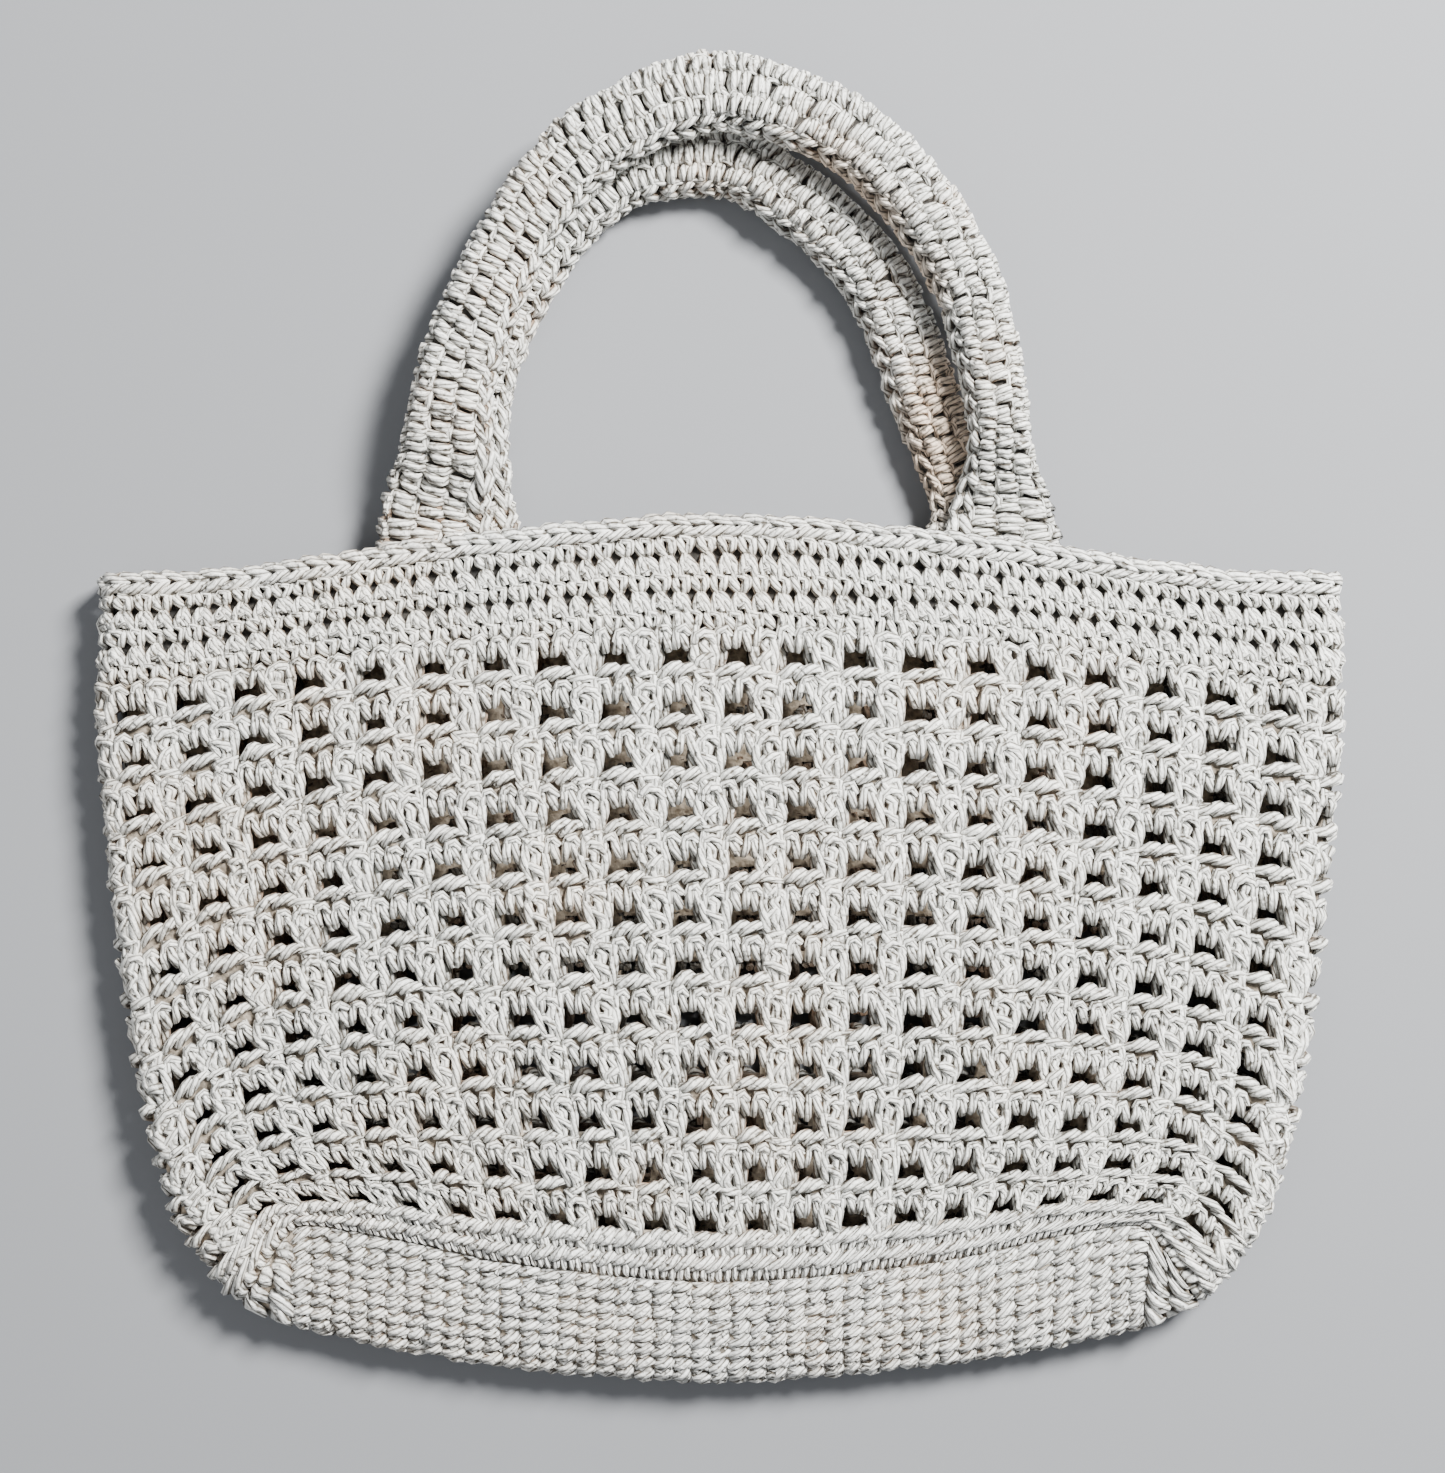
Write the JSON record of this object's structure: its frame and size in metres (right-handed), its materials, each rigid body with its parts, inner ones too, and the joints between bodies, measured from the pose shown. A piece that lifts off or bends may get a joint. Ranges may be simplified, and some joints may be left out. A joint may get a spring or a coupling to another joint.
{
  "type": "crocheted tote bag",
  "caption": "Crocheted cord tote bag lying flat: open net walls, dense folded base, plain top band, braided rim and two rolled arched handles.",
  "frame": {"origin": "centre of the bag's box on the surface that it lies on", "axes": "+Z outward from the front wall, +Y from the base to the handles, +X to the right of the front"},
  "size_m": [0.36, 0.3804, 0.026],
  "materials": {
    "base_cord": "matt twisted cord, dense single crochet",
    "border_cord": "matt twisted cord, raised chain ridges",
    "net_cord": "matt twisted cord, open crochet net",
    "band_cord": "matt twisted cord, tight single crochet",
    "rim_cord": "matt twisted cord, braided chain edge",
    "front_handle_cord": "matt twisted cord, rolled strap with a V seam",
    "back_handle_cord": "matt twisted cord, rolled strap with a V seam"
  },
  "bodies": {
    "root": {"base_panel": "base_cord", "base_border": "border_cord", "net_body": "net_cord", "top_band": "band_cord", "rim_chain": "rim_cord", "front_handle": "front_handle_cord", "back_handle": "back_handle_cord"}
  },
  "joints": []
}
